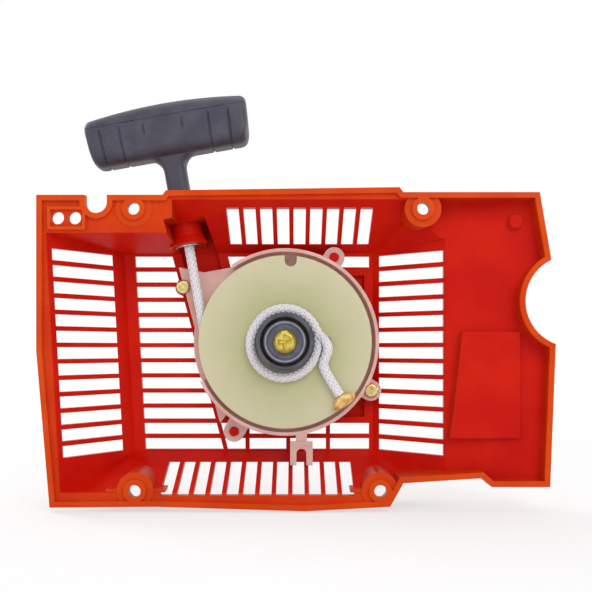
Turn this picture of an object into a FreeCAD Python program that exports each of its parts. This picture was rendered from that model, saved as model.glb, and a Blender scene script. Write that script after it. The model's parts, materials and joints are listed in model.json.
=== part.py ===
"""Recoil starter of a large chainsaw: side cover, rope pulley, recoil spring, rope and T handle.

Frame: +Z is up as fitted, +X is right seen from outside. The mounting rim lies in the plane
Y = 0 and the cover bulges towards -Y. The origin is the pulley axis on the rim plane. A
"depth" below is the distance from the rim plane towards the outside, so Y = -depth.
"""
import FreeCAD, Part
import math
import os

V = FreeCAD.Vector

# ---------------------------------------------------------------- driving sizes, in mm
# Cover shell
hood_depth = 41.0            # rim plane to the outside of the grille face
wall = 2.5
rim_depth = 4.0              # height of the low flange that runs round the rim
face_left = -43.5
face_right = 80.0            # at the top edge of the face
face_top = 45.0
face_bottom = -54.5
left_run = 1.125             # how far each side spreads outwards per mm of depth
right_run = 0.744
top_run = 0.537
bottom_run = 0.39
steep_run = 0.15             # the top wall behind the flat strip at the right
right_lean = 0.055           # the right side leans in by this much per mm downwards
top_slope_end = 52.6         # the gentle top slope stops here, the flat strip begins
edge_cut = 0.9               # depth of the soft bevel along the edges of the face and its sides
right_edge_cut = 1.5         # the broad bevel down the right edge of the face

# Wing with the flat deck, on the left
wing_left = -120.1
wing_bottom = -64.4
wing_top = 66.2
deck_depth = 9.0             # at the left edge of the wing
deck_rise = 0.1              # per mm to the right
wing_end = -52.6             # the deck meets the sloping sides here
notch_radius = 20.2          # round notch in the left edge
notch_x = -126.9
notch_z = 18.0
pocket_left = -103.6         # shallow label pocket
pocket_right = -77.0         # at its bottom edge
pocket_top = 2.0
pocket_bottom = -41.0
pocket_slant = 5.5
pocket_floor = 8.6

# Rim
rim_margin = 2.4             # flat flange beyond the foot of the right side
rim_top = 67.6
rim_bottom = -74.0
strip_top = 65.0             # top edge of the flat strip at the right
slot_notch_from_end = 26.4   # U notch in the flat strip, from the right end of the rim
slot_notch_width = 9.7
slot_notch_bottom = 57.0
small_hole_radius = 2.8
small_holes_from_end = (16.7, 9.1)
small_hole_z = 55.0
strip_rib = 1.5

# Mounting screw holes
screw_hole_radius = 2.75
upper_holes_x = (-61.5, 67.0)
upper_holes_z = 59.0
lower_holes_x = (-42.5, 66.5)
lower_holes_z = -66.3
well_radius = 6.2
well_wall = 2.0
well_floor = 5.0             # depth of the seat under the screw head
collar_radius = 5.1
collar_step = 1.2

# Louvres: rows of slots that line up over the left side, the face and the right side
row_count = 13
row_top = 41.9
row_bottom = -52.1
row_bar = 2.1
left_slots = (-72.6, -45.4)
right_slots = (3.4, 25.2)    # from the top corner of the face outwards
face_slots_right = -6.3      # right end of the face slots, from the edge of the face
row_bars_x = (-20.7, -1.3, 18.6)
bar_width = 2.0
top_slot_count = 9
top_slots = (-40.0, 26.5)
top_slots_z = (47.1, 60.5)
bottom_slot_count = 12
bottom_slots = (-31.0, 55.4)
bottom_slots_z = (-68.4, -57.0)

# Raised panel over the spring and rope boss above it
panel_rise = 3.0
panel_left = -40.8
panel_top = 35.0
panel_bottom = -38.8
panel_side = 0.8             # upright part of the panel's edge
panel_bevel = 3.2            # width of the bevel round the panel and the rope boss
panel_lean = 0.2656          # slant of the right edge and of the rope boss, X per mm of Z
boss_before_rope = 15.35     # left side of the rope boss to the rope line, at the panel's top
boss_width = 23.0            # across X
boss_rise = 4.9              # top of the boss on the rope line, above the top slope there
brow_length = 12.0           # the top of the rope boss leans back over this length
brow_angle = 6.0
emblem_x = -4.0
emblem_z = -6.0
emblem_radius = 8.0

# Rope
rope_diameter = 4.8
rope_tilt = 10.0             # degrees from straight up towards +X
rope_below_flange = 1.1      # outermost turn to the edge of the pulley
guide_wall = 5.0             # round the rope, at the guide tube
guide_lip = 1.8
guide_length = 11.5
eyelet_wall = 2.2
eyelet_height = 2.4
eyelet_rim = 1.4              # its flange beyond its barrel
eyelet_rim_thickness = 0.8
eyelet_clearance = 0.2
rope_gap = 0.3               # rope to the pulley flanges

# Pulley
pulley_radius = 40.5
pulley_under_plate = 0.7     # running gap to the spring cover plate
flange = 2.2
core_wall = 4.3              # round the hub sleeve, under the rope
sleeve_radius = 13.2
sleeve_wall = 1.9
post_radius = 6.0
running_gap = 0.3
sleeve_end = 9.0             # depth of the open end of the hub sleeve
bush_end = 14.3
spring_hub_wall = 3.7
spring_hub_length = 9.0
rope_hole_beyond_core = 1.4
tension_notch_width = 5.6
tension_notch_depth = 5.2
tension_notch_x = -2.6

# Centre screw
washer_inside_sleeve = 1.3
washer_thickness = 1.5
screw_head_radius = 5.4
screw_head_height = 2.9
screw_radius = 2.5
screw_length = 16.0
insert_radius = 4.0

# Spring and its cover plate
plate_clearance = 1.9        # pulley edge to the plate's wall
plate_thickness = 1.5
spring_space = 8.0           # face of the cover to the plate
plate_wall = 1.6             # low wall round the pulley
plate_wall_above = 1.0       # the wall stops this far before the pulley's inner face
plate_gap_from = -25.0       # degrees, the wall is open where the rope leaves
plate_gap_to = 55.0
plate_bore = 12.0
cup_step = 0.8               # the cup is this much smaller than the plate, in radius
chamber_radius = 32.0
chamber_wall = 1.6
spring_width = 6.5
spring_thickness = 0.6
spring_pitch = 2.0
ear_radius = 5.0
ear_screws_at = ((28.3, 11.7), (209.5, 3.1))    # degrees, and mm beyond the plate's edge
ear_pins_at = ((119.9, 2.9), (-60.1, 5.4))
pin_radius = 2.2
ear_post_radius = 4.0
plate_screw_head = 3.4
plate_screw_radius = 1.7
fork_x = -7.6
fork_width = 10.5
fork_height = 11.0
fork_reach = 13.6            # tip of the fork beyond the plate's edge
fork_above = 1.8             # the fork stands this far above the plate's wall
fork_thickness = 3.2
fork_slot = 4.6

# Rope end on the hub
tail_angles = (185.5, 223.4) # degrees, at the hub and at the melted end
tail_beside_hub = 2.2
tail_inside_edge = 4.7
melt_length = 4.6
melt_width = 10.6
melt_thinner = 0.2            # the melted end against the rope

# Handle, in its own directions: along the grip, and up the rope
grip_length = 76.7
grip_height = 22.0           # at its two ends
grip_crown = 3.0
grip_depth = 17.0
grip_round = 5.5
grip_middle = 40.6           # grip centre above the top of the rope boss
cap_height = 3.8
stem_radius = 5.8
stem_foot_radius = 8.3
stem_foot_height = 7.0
stem_flare = 4.0
seat_gap = 0.3
knot_over_rope = 0.2         # knot radius over the rope's diameter
knot_clearance = 1.0
knot_washer_thickness = 1.0
groove_places = (0.11, 0.235, 0.40, 0.64, 0.79, 0.91)
groove_width = 0.9
groove_cut = 0.5

# Bosses inside the cover
ejector_place = (-104.0, 54.2)
ejector_radius = 3.1
ejector_height = 1.0
gusset_reach = 5.5           # thin ribs that brace the screw wells
gusset_width = 1.5

# ---------------------------------------------------------------- sizes that follow from these
big = 600.0                  # larger than the whole part, for trimming blocks
tilt = math.radians(rope_tilt)
rope_radius = rope_diameter / 2

rim_right = face_right + right_run * (hood_depth - rim_depth) + rim_margin
slot_notch_x = rim_right - slot_notch_from_end
small_hole_x = [rim_right - reach for reach in small_holes_from_end]

plate_depth = hood_depth - spring_space        # the plate's outer side, against the cup
cup_floor = hood_depth - wall
pulley_top = plate_depth - plate_thickness - pulley_under_plate
groove_top = pulley_top - flange
groove_bottom = groove_top - rope_diameter - 2 * rope_gap
pulley_face = groove_bottom - flange
rope_depth = (groove_top + groove_bottom) / 2
plate_wall_depth = pulley_face + plate_wall_above
fork_low = plate_wall_depth - fork_above

pull_radius = pulley_radius - rope_below_flange - rope_radius
plate_radius = pulley_radius + plate_clearance + plate_wall
cup_radius = plate_radius - cup_step
core_radius = sleeve_radius + core_wall
bush_radius = sleeve_radius - sleeve_wall
washer_radius = bush_radius - washer_inside_sleeve
spring_hub_radius = post_radius + running_gap + spring_hub_wall
rope_hole_x = -core_radius - rope_hole_beyond_core
guide_radius = rope_radius + guide_wall
guide_lip_radius = guide_radius + guide_lip
eyelet_radius = rope_radius + eyelet_wall
melt_thickness = rope_diameter - melt_thinner
knot_radius = rope_diameter + knot_over_rope
knot_pocket_radius = knot_radius + knot_clearance
boss_height = face_top + top_run * (hood_depth - rope_depth) + boss_rise


# ---------------------------------------------------------------- small drawing tools
def at(x, z, depth):
    return V(x, -depth, z)


def prism(points, low, high):
    """A straight block over a closed outline of (x, z) points, between two depths."""
    corners = [at(x, z, low) for x, z in points]
    face = Part.Face(Part.makePolygon(corners + corners[:1]))
    return face.extrude(V(0, low - high, 0))


def rectangle(left, right, bottom, top):
    return [(left, bottom), (right, bottom), (right, top), (left, top)]


def disc(x, z, radius, low, high):
    return Part.makeCylinder(radius, high - low, at(x, z, low), V(0, -1, 0))


def tube(outer, inner, low, high):
    return disc(0, 0, outer, low, high).cut(disc(0, 0, inner, low - 1, high + 1))


def fused(shapes):
    return shapes[0].multiFuse(shapes[1:]).removeSplitter()


def trimmed(solid, planes, inset):
    """Cut away what lies beyond each plane, after moving the planes inwards."""
    for point, normal in planes:
        unit = V(normal).normalize()
        block = Part.makeBox(big, big, big, V(-big / 2, -big / 2, 0))
        turn = FreeCAD.Rotation(V(0, 0, 1), unit)
        block.Placement = FreeCAD.Placement(point - unit * inset, turn)
        solid = solid.cut(block)
    return solid


def save(name, shape):
    shape.exportStep("parts/" + name + ".step")


# ---------------------------------------------------------------- rope line and handle axes
up_rope = V(math.sin(tilt), 0, math.cos(tilt))
along_grip = V(math.cos(tilt), 0, -math.sin(tilt))
rope_start = at(pull_radius * math.cos(tilt), -pull_radius * math.sin(tilt), rope_depth)


def on_rope(height):
    """The point of the rope line at a given Z."""
    return rope_start + up_rope * ((height - rope_start.z) / up_rope.z)


def rope_cylinder(radius, start, length):
    return Part.makeCylinder(radius, length, start, up_rope)


boss_exit = on_rope(boss_height)
boss_left = on_rope(panel_top).x - boss_before_rope


def around_axis(degrees, radius):
    """X and Z of a point at an angle round the pulley axis."""
    turn = math.radians(degrees)
    return radius * math.cos(turn), radius * math.sin(turn)


ear_screws = [around_axis(degrees, plate_radius + beyond) for degrees, beyond in ear_screws_at]
ear_pins = [around_axis(degrees, plate_radius + beyond) for degrees, beyond in ear_pins_at]
tail_from = around_axis(tail_angles[0], sleeve_radius + rope_radius + tail_beside_hub)
tail_to = around_axis(tail_angles[1], pulley_radius - tail_inside_edge)


# ---------------------------------------------------------------- cover shell
def rim_outline(inset):
    """Outline of the mounting rim, without its notches, moved inwards by inset."""
    points = [
        (rim_right, strip_top), (top_slope_end + 1.4, strip_top), (top_slope_end, rim_top - 0.6),
        (wing_end + 1.6, rim_top + 0.8), (wing_end, wing_top), (-113.0, wing_top), (wing_left + 2.1, 37.0),
        (wing_left, -0.5), (wing_left + 2.5, wing_bottom), (-91.8, wing_bottom),
        (-87.3, wing_bottom + 3.9), (wing_end, wing_bottom + 1.7), (-46.8, rim_bottom + 0.9),
        (-9.0, rim_bottom - 1.1), (57.0, rim_bottom + 0.9), (rim_right - 5.9, rim_bottom + 0.5),
        (rim_right, -4.0),
    ]
    face = Part.Face(Part.makePolygon([at(x, z, 0) for x, z in points + points[:1]]))
    if inset:
        face = face.makeOffset2D(-inset, 2)
    return face


right_normal = V(1, -right_run, -right_lean)
face_plane = (at(0, 0, hood_depth), V(0, -1, 0))
left_plane = (at(face_left, 0, hood_depth), V(-1, -left_run, 0))
right_plane = (at(face_right, face_top, hood_depth), right_normal)
bottom_plane = (at(0, face_bottom, hood_depth), V(0, -bottom_run, -1))
top_plane = (at(0, face_top, hood_depth), V(0, -top_run, 1))
steep_plane = (at(0, face_top, hood_depth), V(0, -steep_run, 1))
deck_plane = (at(wing_left, 0, deck_depth), V(-deck_rise, -1, 0))
corner_plane = (at(face_left, face_top, hood_depth), V(-0.52, -0.617, 0.588))
slope_end_plane = (at(top_slope_end, 0, 0), V(1, 0, 0))
wing_end_plane = (at(wing_end, 0, 0), V(1, 0, 0))
rim_plane = (at(0, 0, rim_depth), V(0, -1, 0))


def bevel(first, second, edge_point, cut=edge_cut):
    """Plane that takes off the edge where two side planes meet."""
    normal = V(first[1]).normalize() + V(second[1]).normalize()
    return (edge_point - V(normal).normalize() * cut, normal)


brow_foot = on_rope(boss_height) - up_rope * brow_length
brow_plane = (V(brow_foot.x, -hood_depth - panel_rise, brow_foot.z),
              V(0, -1, 0) + up_rope * math.tan(math.radians(brow_angle)))
upper_left = at(face_left, face_top, hood_depth)
upper_right = at(face_right, face_top, hood_depth)
lower_left = at(face_left, face_bottom, hood_depth)
lower_right = at(face_right + right_lean * (face_bottom - face_top), face_bottom, hood_depth)
side_bevels = [bevel(face_plane, left_plane, upper_left),
               bevel(face_plane, right_plane, upper_right, right_edge_cut),
               bevel(face_plane, bottom_plane, lower_left),
               bevel(left_plane, bottom_plane, lower_left),
               bevel(right_plane, bottom_plane, lower_right)]
top_bevels = [bevel(face_plane, top_plane, upper_left),
              bevel(face_plane, corner_plane, upper_left)]
strip_bevels = [bevel(face_plane, steep_plane, upper_right),
                bevel(right_plane, steep_plane, upper_right)]


def panel_edge(z):
    """X of the slanted right edge of the raised panel at a given Z."""
    return boss_left + boss_width + panel_lean * (z - panel_top)


def boss_outline(inset):
    """Slanted outline of the rope boss; its top edge is square to the rope line."""
    slant = math.sqrt(1 + panel_lean ** 2)
    foot = panel_top - 6.0
    left = boss_left + inset * slant
    right = boss_left + boss_width - inset * slant
    top = boss_exit - up_rope * inset

    def corner(foot_x):
        # where the side line meets the top edge
        run = (top.z - panel_top) - math.tan(tilt) * (foot_x - top.x)
        z = panel_top + run / (1 + math.tan(tilt) * panel_lean)
        return (foot_x + panel_lean * (z - panel_top), z)

    low_left = (left + panel_lean * (foot - panel_top), foot)
    low_right = (right + panel_lean * (foot - panel_top), foot)
    return [low_left, low_right, corner(right), corner(left)]


def panel_outline(inset):
    bottom = panel_bottom + inset
    top = panel_top - inset
    slant = inset * math.sqrt(1 + panel_lean ** 2)
    return [(panel_left + inset, bottom), (panel_edge(bottom) - slant, bottom),
            (panel_edge(top) - slant, top), (panel_left + inset, top)]


def tapered(outline, low, high):
    """A block over an outline, whose front edges are bevelled all round."""
    straight = prism(outline(0), low, high)
    wires = []
    for inset, depth in ((0, high), (panel_bevel, hood_depth + panel_rise)):
        corners = [at(x, z, depth) for x, z in outline(inset)]
        wires.append(Part.makePolygon(corners + corners[:1]))
    return straight.fuse(Part.makeLoft(wires, True, True))


def hood(inset):
    """The cover as a full block; with an inset, its inside, which runs out past the rim."""
    low = -1.0 if inset else 0.0
    face = rim_outline(inset)
    face.translate(V(0, -low, 0))
    block = face.extrude(V(0, low - hood_depth - 1, 0))
    sides = [face_plane, left_plane, right_plane, bottom_plane]
    main = trimmed(block, sides + [top_plane, corner_plane, slope_end_plane], inset)
    right = trimmed(block, sides + [steep_plane], inset)
    if not inset:
        main = trimmed(main, side_bevels + top_bevels, 0)
        right = trimmed(right, side_bevels + strip_bevels, 0)
    wing = trimmed(block, [deck_plane, wing_end_plane], inset)
    rim = trimmed(block, [rim_plane], inset)
    if not inset:
        boss = trimmed(tapered(boss_outline, low, hood_depth + panel_side), [brow_plane], 0)
        panel = tapered(panel_outline, hood_depth - 2 * wall, hood_depth + panel_side)
        return fused([main, right, wing, rim, boss, panel])
    front = hood_depth + panel_rise - inset
    boss = prism(boss_outline(inset), low, front)
    panel = prism(panel_outline(inset), hood_depth - 2 * wall, front)
    return fused([main, right, wing, rim, boss, panel])


def row_heights():
    """Lower and upper Z of each row of louvres."""
    pitch = (row_top - row_bottom + row_bar) / row_count
    for row in range(row_count):
        top = row_top - row * pitch
        yield top - pitch + row_bar, top


def even_slots(span, count, bar):
    """Left and right X of slots spread evenly over a span."""
    pitch = (span[1] - span[0] + bar) / count
    for index in range(count):
        left = span[0] + index * pitch
        yield left, left + pitch - bar


def louvre_cuts():
    cuts = []
    through = (rim_depth, hood_depth + 2 * panel_rise)
    rows = list(row_heights())
    for index, (low, high) in enumerate(rows):
        cuts.append(prism(rectangle(*left_slots, low, high), *through))

        def slanted(near, far):
            lean = [right_lean * (z - face_top) for z in (low, high)]
            return [(near + lean[0], low), (far + lean[0], low),
                    (far + lean[1], high), (near + lean[1], high)]

        cuts.append(prism(slanted(face_right + right_slots[0], face_right + right_slots[1]),
                          *through))
        end = slanted(0, face_right + face_slots_right)
        margin = bar_width
        cuts.append(prism([(panel_edge(low) + margin, low), end[1], end[2],
                           (panel_edge(high) + margin, high)], *through))
        # the row above the panel and the two below it are shared out between short bars
        if low > panel_top or high < panel_bottom:
            if low > panel_top:
                ends = [boss_left + panel_lean * (z - panel_top) - bar_width for z in (low, high)]
            else:
                ends = [panel_edge(z) for z in (low, high)]
            strip = prism([(panel_left, low), (ends[0], low), (ends[1], high),
                           (panel_left, high)], *through)
            for x in row_bars_x:
                half = bar_width / 2
                strip = strip.cut(prism(rectangle(x - half, x + half, low - 1, high + 1), 0, 60))
            cuts.append(strip)
    for left, right in even_slots(top_slots, top_slot_count, bar_width):
        cuts.append(prism(rectangle(left, right, *top_slots_z), *through))
    for left, right in even_slots(bottom_slots, bottom_slot_count, bar_width):
        cuts.append(prism(rectangle(left, right, *bottom_slots_z), 0.5, through[1]))
    return cuts


def screw_places():
    return ([(x, upper_holes_z) for x in upper_holes_x]
            + [(x, lower_holes_z) for x in lower_holes_x])


def pocket_outline(margin):
    return [(pocket_left - margin, pocket_bottom - margin),
            (pocket_right + margin, pocket_bottom - margin),
            (pocket_right - pocket_slant + margin, pocket_top + margin),
            (pocket_left - margin, pocket_top + margin)]


def notch_outline(margin):
    """U notch in the flat strip."""
    half = slot_notch_width / 2 + margin
    return rectangle(slot_notch_x - half, slot_notch_x + half,
                     slot_notch_bottom + slot_notch_width / 2, strip_top + 5)


def notch_block(margin, low, high):
    round_end = disc(slot_notch_x, slot_notch_bottom + slot_notch_width / 2,
                     slot_notch_width / 2 + margin, low, high)
    return round_end.fuse(prism(notch_outline(margin), low, high))


def starter_housing():
    outside = hood(0.0)
    shell = outside.cut(hood(wall))
    shell = shell.cut(Part.makeCompound(louvre_cuts()))

    added = []
    # walls round the notches, the label pocket and the screw wells
    added.append(disc(notch_x, notch_z, notch_radius + wall, 0, 30).common(outside))
    added.append(notch_block(wall, 0, rim_depth).common(outside))
    added.append(prism(pocket_outline(wall), pocket_floor - wall, 20).common(outside))
    for x, z in screw_places():
        boss = disc(x, z, well_radius + well_wall, collar_step, 60)
        collar = disc(x, z, collar_radius, 0, collar_step + 1)
        added.append(boss.common(outside))
        added.append(collar)
    for x, z in screw_places()[2:]:
        for run in (-1, 1):
            near = x + run * (well_radius - 0.5)
            far = near + run * (gusset_reach + well_wall)
            added.append(prism([(near, z - gusset_width / 2), (far, z - gusset_width / 2),
                                (far, z + gusset_width / 2), (near, z + gusset_width / 2)],
                               rim_depth - wall, hood_depth).common(outside))
    added.append(disc(*ejector_place, ejector_radius, deck_depth - wall - ejector_height,
                      deck_depth).common(outside))
    ribs = prism(rectangle(small_hole_x[0] - 5, small_hole_x[1] + 4.4, 49.6, 60.0), 0, rim_depth)
    inner = rectangle(small_hole_x[0] - 5 + strip_rib, small_hole_x[1] + 4.4 - strip_rib,
                      49.6 + strip_rib, 60.0 - strip_rib)
    added.append(ribs.cut(prism(inner, -1, rim_depth + 1)).common(outside))

    # spring cup: outer ring, floor beside the panel, and the chamber for the spring
    under_panel = hood_depth + panel_rise - wall
    step = chamber_radius + chamber_wall
    floor = tube(cup_radius, step - 0.1, cup_floor - wall, cup_floor)
    filled = tube(cup_radius, step - 0.1, cup_floor - wall, under_panel + 0.5)
    added.append(floor)
    added.append(filled.common(prism(panel_outline(1.0), 0, hood_depth + panel_rise)))
    added.append(tube(cup_radius, cup_radius - 2.0, plate_depth, cup_floor))
    added.append(tube(step, chamber_radius, plate_depth, under_panel + 0.5))

    # centre post and the posts under the ears of the cover plate
    added.append(disc(0, 0, post_radius, bush_end - running_gap, under_panel + 0.5))
    for x, z in ear_screws + ear_pins:
        added.append(disc(x, z, ear_post_radius, plate_depth, hood_depth - 0.5))
    x, z = ear_screws[0]
    added.append(disc(x, z, ear_post_radius, plate_depth, under_panel + 0.5))
    for x, z in ear_pins:
        added.append(disc(x, z, pin_radius, plate_depth - plate_thickness - 1.0, plate_depth + 1))

    # rope guide: a tube down from the top of the boss with a lip at its lower end
    guide_foot = boss_exit - up_rope * (guide_length + 1)
    added.append(rope_cylinder(guide_radius, guide_foot, guide_length))
    lip = Part.makeCone(guide_lip_radius, guide_radius, 4.0, guide_foot, up_rope)
    added.append(lip)
    web_top = boss_exit - up_rope
    web = [guide_foot - along_grip * guide_radius, guide_foot + along_grip * guide_radius,
           web_top + along_grip * guide_radius, web_top - along_grip * guide_radius]
    added.append(prism([(point.x, point.z) for point in web], rope_depth, under_panel + 0.5))

    shell = fused([shell] + added)

    cuts = [disc(notch_x, notch_z, notch_radius, -1, 40),
            notch_block(0, -1, rim_depth + 1),
            prism(pocket_outline(0), pocket_floor, 40),
            disc(0, 0, insert_radius, 0, bush_end + screw_length),
            rope_cylinder(rope_radius + 0.9, guide_foot - up_rope, guide_length + 20),
            rope_cylinder(eyelet_radius, guide_foot - up_rope, eyelet_height + 1),
            rope_cylinder(eyelet_radius + eyelet_rim + eyelet_clearance,
                          guide_foot - up_rope * (eyelet_rim_thickness + eyelet_clearance),
                          eyelet_rim_thickness + eyelet_clearance)]
    for x in small_hole_x:
        cuts.append(disc(x, small_hole_z, small_hole_radius, -1, rim_depth + 1))
    for x, z in screw_places():
        cuts.append(disc(x, z, screw_hole_radius, -1, 60))
        seat = Part.makeCone(well_radius, well_radius + 1.5, 40, at(x, z, well_floor),
                             V(0, -1, 0))
        cuts.append(seat)
    for x, z in ear_screws:
        cuts.append(disc(x, z, plate_screw_radius, plate_depth - 1, plate_depth + 5))
    ring = disc(emblem_x, emblem_z, emblem_radius, 0, 60).cut(
        disc(emblem_x, emblem_z, emblem_radius - 1.0, -1, 61))
    cuts.append(ring.common(disc(emblem_x, emblem_z, 20, hood_depth + panel_rise - 0.4, 60)))
    return shell.cut(Part.makeCompound(cuts)).removeSplitter()


# ---------------------------------------------------------------- spring and cover plate
def spiral_edge(inner, turns, offset):
    """One long edge of the coiled strip, as a smooth curve in the XZ plane."""
    steps = int(turns * 14)
    points = []
    for step in range(steps + 1):
        angle = 2 * math.pi * turns * step / steps
        radius = inner + spring_pitch * angle / (2 * math.pi) + offset
        points.append(V(radius * math.cos(angle), 0, radius * math.sin(angle)))
    curve = Part.BSplineCurve()
    curve.interpolate(points)
    return curve.toShape(), points[0], points[-1]


def recoil_spring():
    inner = spring_hub_radius + running_gap
    outer = chamber_radius - running_gap - spring_thickness
    turns = (outer - inner) / spring_pitch
    near, near_start, near_end = spiral_edge(inner, turns, 0.0)
    far, far_start, far_end = spiral_edge(inner, turns, spring_thickness)
    wire = Part.Wire([near, Part.makeLine(near_end, far_end), far,
                      Part.makeLine(far_start, near_start)])
    strip = Part.Face(wire).extrude(V(0, -spring_width, 0))
    strip.translate(V(0, -(plate_depth + 1.0), 0))
    return strip


def ear_tab(x, z, low, high):
    """Round ear with a straight neck back to the plate."""
    reach = math.hypot(x, z)
    ux, uz = x / reach, z / reach
    inner = plate_radius - 5.0
    half = ear_radius
    neck = [(ux * inner - uz * half, uz * inner + ux * half),
            (ux * inner + uz * half, uz * inner - ux * half),
            (x + uz * half, z - ux * half), (x - uz * half, z + ux * half)]
    return disc(x, z, ear_radius, low, high).fuse(prism(neck, low, high))


def spring_cover_plate():
    low = plate_depth - plate_thickness
    sheet = disc(0, 0, plate_radius, low, plate_depth)
    top_corner = (panel_edge(panel_top + 1.0) - 0.4, panel_top + 1.0)
    low_corner = (panel_edge(panel_bottom) - 0.4, panel_bottom)
    wingplate = prism([(0, 0), low_corner, top_corner, (39.0, 33.5), (25.0, 36.0)],
                      low, plate_depth)
    shapes = [sheet, wingplate]
    for x, z in ear_screws[1:] + ear_pins:
        shapes.append(ear_tab(x, z, low, plate_depth))
    ring = tube(plate_radius, plate_radius - plate_wall, plate_wall_depth, plate_depth)
    gap = [(0.0, 0.0)]
    for angle in (plate_gap_from, plate_gap_to):
        turn = math.radians(angle)
        gap.append((90 * math.cos(turn), 90 * math.sin(turn)))
    shapes.append(ring.cut(prism(gap, 0, low)))
    # fork clip on a short arm below the plate wall
    half = fork_width / 2
    fork_tip_z = -plate_radius - fork_reach
    fork_top = fork_tip_z + fork_height
    fork_depth = (fork_low, fork_low + fork_thickness)
    fork = prism(rectangle(fork_x - half, fork_x + half, fork_tip_z, fork_top), *fork_depth)
    fork = fork.cut(prism(rectangle(fork_x - fork_slot / 2, fork_x + fork_slot / 2,
                                    fork_tip_z - 1, fork_top - 5.5), 0, 60))
    fork = fork.cut(disc(fork_x, fork_top - 5.5, fork_slot / 2, 0, 60))
    shapes.append(fork)
    arm = rectangle(fork_x - half / 2, fork_x + half / 2, fork_top - 2,
                    -plate_radius + 2 * plate_wall)
    shapes.append(prism(arm, plate_wall_depth, plate_depth).cut(
        disc(0, 0, plate_radius - plate_wall, 0, low)))
    body = fused(shapes)
    cuts = [disc(0, 0, plate_bore, 0, 60)]
    for x, z in ear_pins:
        cuts.append(disc(x, z, pin_radius, 0, 60))
    for x, z in ear_screws:
        cuts.append(disc(x, z, plate_screw_radius + 0.2, 0, 60))
        cuts.append(disc(x, z, plate_screw_head + 0.3, 0, low))
    return body.cut(Part.makeCompound(cuts))


def plate_screw(x, z):
    seat = plate_depth - plate_thickness
    head = disc(x, z, plate_screw_head, seat - 2.0, seat)
    crown = [edge for edge in head.Edges
             if abs(edge.CenterOfMass.y + seat - 2.0) < 0.01 and edge.Length > 5]
    head = head.makeFillet(1.0, crown)
    shank = disc(x, z, plate_screw_radius - 0.05, seat - 0.5, plate_depth + 4.8)
    slot_a = prism(rectangle(x - 1.8, x + 1.8, z - 0.4, z + 0.4), seat - 3, seat - 1.0)
    slot_b = prism(rectangle(x - 0.4, x + 0.4, z - 1.8, z + 1.8), seat - 3, seat - 1.0)
    return head.fuse(shank).cut(slot_a.fuse(slot_b))


# ---------------------------------------------------------------- pulley and its centre
def rope_pulley():
    shapes = [tube(pulley_radius, post_radius + running_gap, groove_top, pulley_top),
              tube(core_radius, sleeve_radius, groove_bottom - 0.5, groove_top + 0.5),
              tube(pulley_radius, sleeve_radius, pulley_face, groove_bottom),
              tube(spring_hub_radius, post_radius + running_gap, pulley_top - 0.5,
                   pulley_top + spring_hub_length)]
    body = fused(shapes)
    notch_foot = pulley_radius - tension_notch_depth + tension_notch_width / 2
    half = tension_notch_width / 2
    notch = disc(tension_notch_x, notch_foot, half, 0, 60).fuse(
        prism(rectangle(tension_notch_x - half, tension_notch_x + half, notch_foot, 60), 0, 60))
    rope_hole = disc(rope_hole_x, 0, rope_radius + rope_gap, pulley_face - 1,
                     rope_depth)
    hook_slot = prism(rectangle(post_radius - 1, spring_hub_radius + 1, -0.6, 0.6),
                      plate_depth + 0.5, pulley_top + spring_hub_length + 1)
    return body.cut(Part.makeCompound([notch, rope_hole, hook_slot]))


def centre_screw():
    top = bush_end - running_gap - washer_thickness
    head = Part.makeCone(screw_head_radius - 1.6, screw_head_radius, 1.3,
                         at(0, 0, top - screw_head_height), V(0, -1, 0))
    rim = disc(0, 0, screw_head_radius, top - screw_head_height + 1.3, top)
    shank = disc(0, 0, screw_radius, top - 1, top + screw_length)
    arm = 3.0
    slot_a = prism(rectangle(-arm, arm, -0.6, 0.6), top - screw_head_height - 1, top - 0.9)
    slot_b = prism(rectangle(-0.6, 0.6, -arm, arm), top - screw_head_height - 1, top - 0.9)
    return fused([head, rim, shank]).cut(slot_a.fuse(slot_b))


def centre_washer():
    low = bush_end - running_gap - washer_thickness
    return tube(washer_radius, screw_radius + 0.1, low, low + washer_thickness)


def post_insert():
    low = bush_end - running_gap
    return tube(insert_radius, screw_radius, low, bush_end + screw_length)


# ---------------------------------------------------------------- rope
def rope_on_hub():
    """One turn round the hub sleeve, with the tail that lies over the pulley."""
    depth = pulley_face - rope_radius - 0.1
    ring_radius = sleeve_radius + rope_radius + 0.1
    ring = Part.makeTorus(ring_radius, rope_radius, at(0, 0, depth), V(0, 1, 0))
    start = at(*tail_from, depth)
    end = at(*tail_to, depth)
    tail = Part.makeCylinder(rope_radius, (end - start).Length, start, end - start)
    knee = Part.makeSphere(rope_radius, start)
    return fused([ring, tail, knee])


def rope_melted_end():
    depth = pulley_face - rope_radius - 0.1
    start = at(*tail_from, depth)
    end = at(*tail_to, depth)
    direction = (end - start).normalize()
    block = Part.makeBox(melt_width, melt_thickness, melt_length,
                         V(-melt_width / 2, -melt_thickness / 2, 0))
    block = block.makeFillet(1.6, block.Edges)
    side = V(0, 1, 0).cross(direction)
    turn = FreeCAD.Rotation(side, V(0, 1, 0), direction, "ZXY")
    block.Placement = FreeCAD.Placement(end, turn)
    return block


def rope_winding():
    """The turns in the pulley groove, as the ring that they fill."""
    return tube(pull_radius + rope_radius, core_radius, groove_bottom + rope_gap,
                groove_top - rope_gap)


def rope_run():
    """Straight rope from the last turn up to the knot in the handle."""
    clear = pull_radius + rope_radius + rope_gap
    near_side = pull_radius - rope_radius
    start = rope_start + up_rope * math.sqrt(clear ** 2 - near_side ** 2)
    return rope_cylinder(rope_radius, start, (knot_seat - start).Length)


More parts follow.
